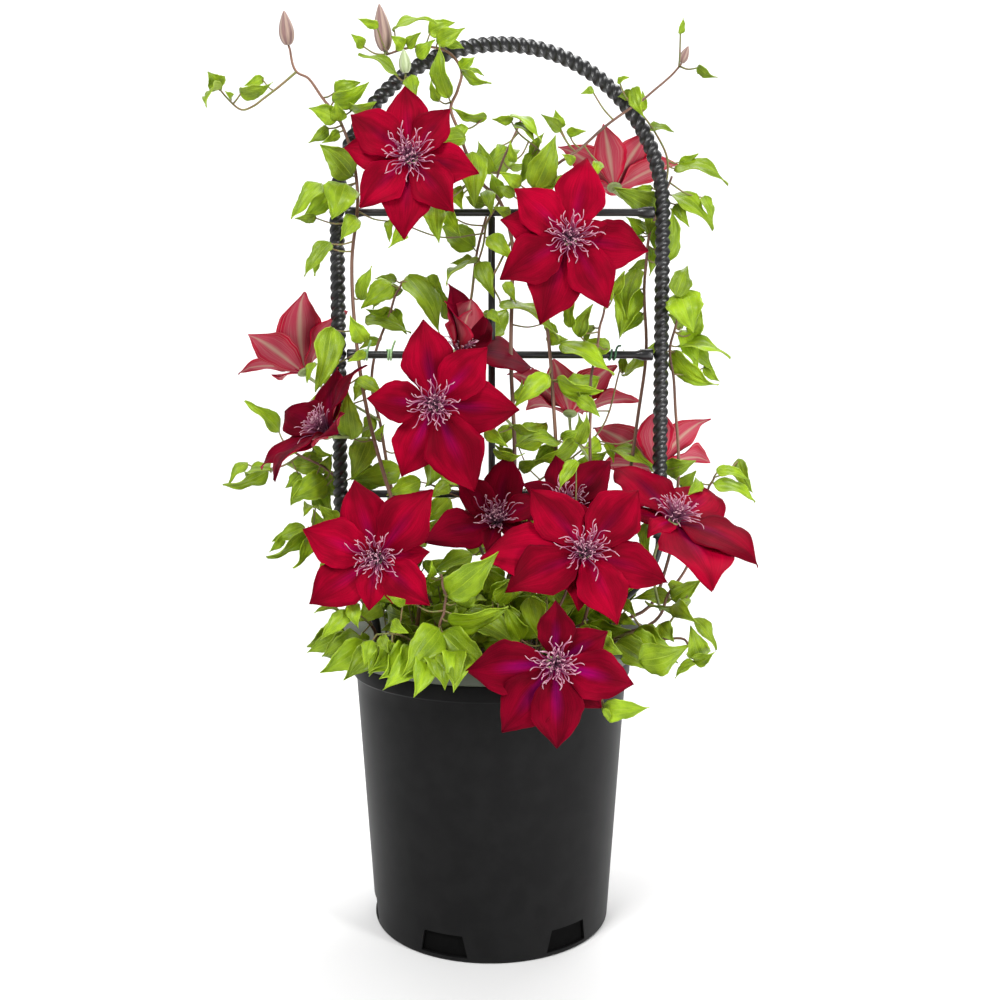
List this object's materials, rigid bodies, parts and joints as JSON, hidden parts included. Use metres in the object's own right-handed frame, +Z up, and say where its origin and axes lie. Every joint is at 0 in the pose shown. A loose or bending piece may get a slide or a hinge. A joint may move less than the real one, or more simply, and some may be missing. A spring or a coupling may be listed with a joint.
{
  "type": "potted flower clematis",
  "caption": "Flowering clematis with leafy twining stems and open star-shaped blooms, tied to an arched twisted rod trellis in a round nursery pot.",
  "frame": {"origin": "centre of the black pot's underside, where it stands", "axes": "+Z up, front towards -Y, +X to the right seen from the front"},
  "size_m": [0.4221, 0.2927, 0.714],
  "materials": {
    "black_pot": "satin moulded, slightly ribbed by light",
    "grower_pot": "grey-green moulded, matt",
    "soil": "moist peat with bark crumbs, rough",
    "trellis": "black coated rod, satin",
    "tie_pale": "light green strip",
    "tie_dark": "dark green wrap",
    "foliage": "living leaf, soft sheen, pale veins, reddish-brown stems",
    "stamens": "mauve-pink filaments with pale tips over a dark centre",
    "bud_pink": "dusty pink-brown, ribbed, downy",
    "bud_pale": "pale green, downy",
    "sepals_crimson": "velvety crimson with purple bars",
    "sepals_maroon": "velvety dark crimson",
    "sepals_rose": "crimson inside, dusty pink striped reverse"
  },
  "bodies": {
    "root": {"outer_pot": "black_pot", "inner_pot": "grower_pot", "soil": "soil", "trellis_arch": "trellis", "rung_1": "trellis", "rung_2": "trellis", "rung_3": "trellis", "upright_1": "trellis", "upright_2": "trellis", "tie_left": "tie_pale", "tie_middle": "tie_pale", "tie_right": "tie_dark", "stem_left_tall": "foliage", "stem_left_back": "foliage", "stem_centre_tall": "foliage", "stem_right_top": "foliage", "stem_right_tall": "foliage", "stem_right_mid": "foliage", "stem_right_reach": "foliage", "stem_far_left": "foliage", "stem_low_left": "foliage", "stem_low_front": "foliage", "stem_front_right": "foliage", "stem_mid_right": "foliage", "stem_low_right": "foliage", "stem_back": "foliage", "bloom_1": "sepals_crimson", "boss_1": "stamens", "bloom_2": "sepals_crimson", "boss_2": "stamens", "bloom_3": "sepals_crimson", "boss_3": "stamens", "bloom_4": "sepals_crimson", "boss_4": "stamens", "bloom_5": "sepals_crimson", "boss_5": "stamens", "bloom_6": "sepals_crimson", "boss_6": "stamens", "bloom_7": "sepals_maroon", "boss_7": "stamens", "bloom_8": "sepals_maroon", "boss_8": "stamens", "bloom_9": "sepals_rose", "boss_9": "stamens", "bloom_10": "sepals_maroon", "boss_10": "stamens", "bloom_11": "sepals_rose", "boss_11": "stamens", "bloom_12": "sepals_rose", "boss_12": "stamens", "bloom_13": "sepals_rose", "boss_13": "stamens", "bloom_14": "sepals_crimson", "boss_14": "stamens", "bloom_15": "sepals_maroon", "boss_15": "stamens", "bud_left": "bud_pink", "bud_top": "bud_pink", "bud_pale": "bud_pale", "bud_right": "bud_pink"}
  },
  "joints": []
}
